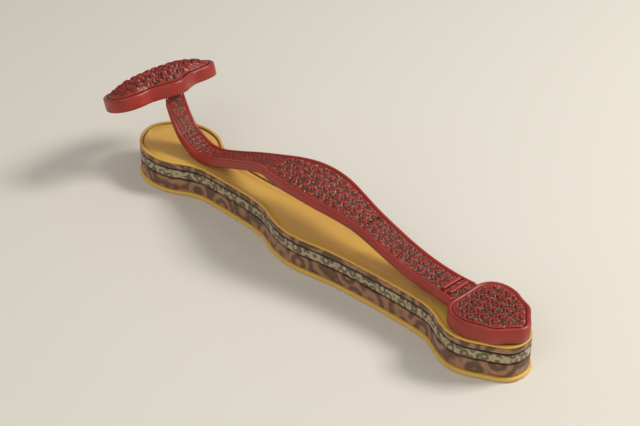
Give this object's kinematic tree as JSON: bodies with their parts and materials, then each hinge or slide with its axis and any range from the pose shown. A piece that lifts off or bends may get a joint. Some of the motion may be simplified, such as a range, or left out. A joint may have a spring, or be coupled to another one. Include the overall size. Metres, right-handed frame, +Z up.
{
  "type": "ruyi scepter",
  "caption": "Carved red lacquer ruyi scepter lying on a fitted case covered in brocade and yellow silk.",
  "frame": {"origin": "middle of the case's flat underside, on the surface it stands on", "axes": "+X along the scepter from the head to the foot, +Z up"},
  "size_m": [0.4079, 0.1014, 0.0857],
  "materials": {
    "lacquer": "satin, carved red lacquer",
    "ground": "satin olive-brown lacquer ground",
    "wood": "bare wood",
    "silk": "satin yellow silk",
    "brocade": "brown woven brocade",
    "olive": "silver-olive woven brocade",
    "dark": "dark cloth"
  },
  "bodies": {
    "case_base": {"base_silk_edge": "silk", "lower_board": "wood", "lower_brocade": "brocade", "seam_lining": "dark"},
    "case_top": {"upper_board": "wood", "middle_brocade": "olive", "band_cord": "dark", "upper_brocade": "brocade", "silk_piping": "silk", "silk_bed": "silk"},
    "scepter": {"shaft_wood_core": "wood", "shaft_back_lacquer": "lacquer", "near_edge_moulding": "lacquer", "far_edge_moulding": "lacquer", "neck_fret_panel": "lacquer", "middle_plaque": "lacquer", "lower_shaft_panel": "lacquer", "cross_bar_inner": "lacquer", "cross_bar_outer": "lacquer", "foot_rim": "lacquer", "foot_back_lacquer": "lacquer", "foot_wood_core": "wood", "foot_relief": "lacquer", "head_rim": "lacquer", "head_back_lacquer": "lacquer", "head_wood_core": "wood", "head_ground_layer": "ground", "head_relief": "lacquer"}
  },
  "joints": [
    {"name": "case_top_lift", "type": "slide", "parent": "case_base", "child": "case_top", "axis": [0, 0, 1], "range_m": [0, 0.04]},
    {"name": "scepter_lift", "type": "slide", "parent": "case_top", "child": "scepter", "axis": [0, 0, 1], "range_m": [0, 0.12]}
  ]
}
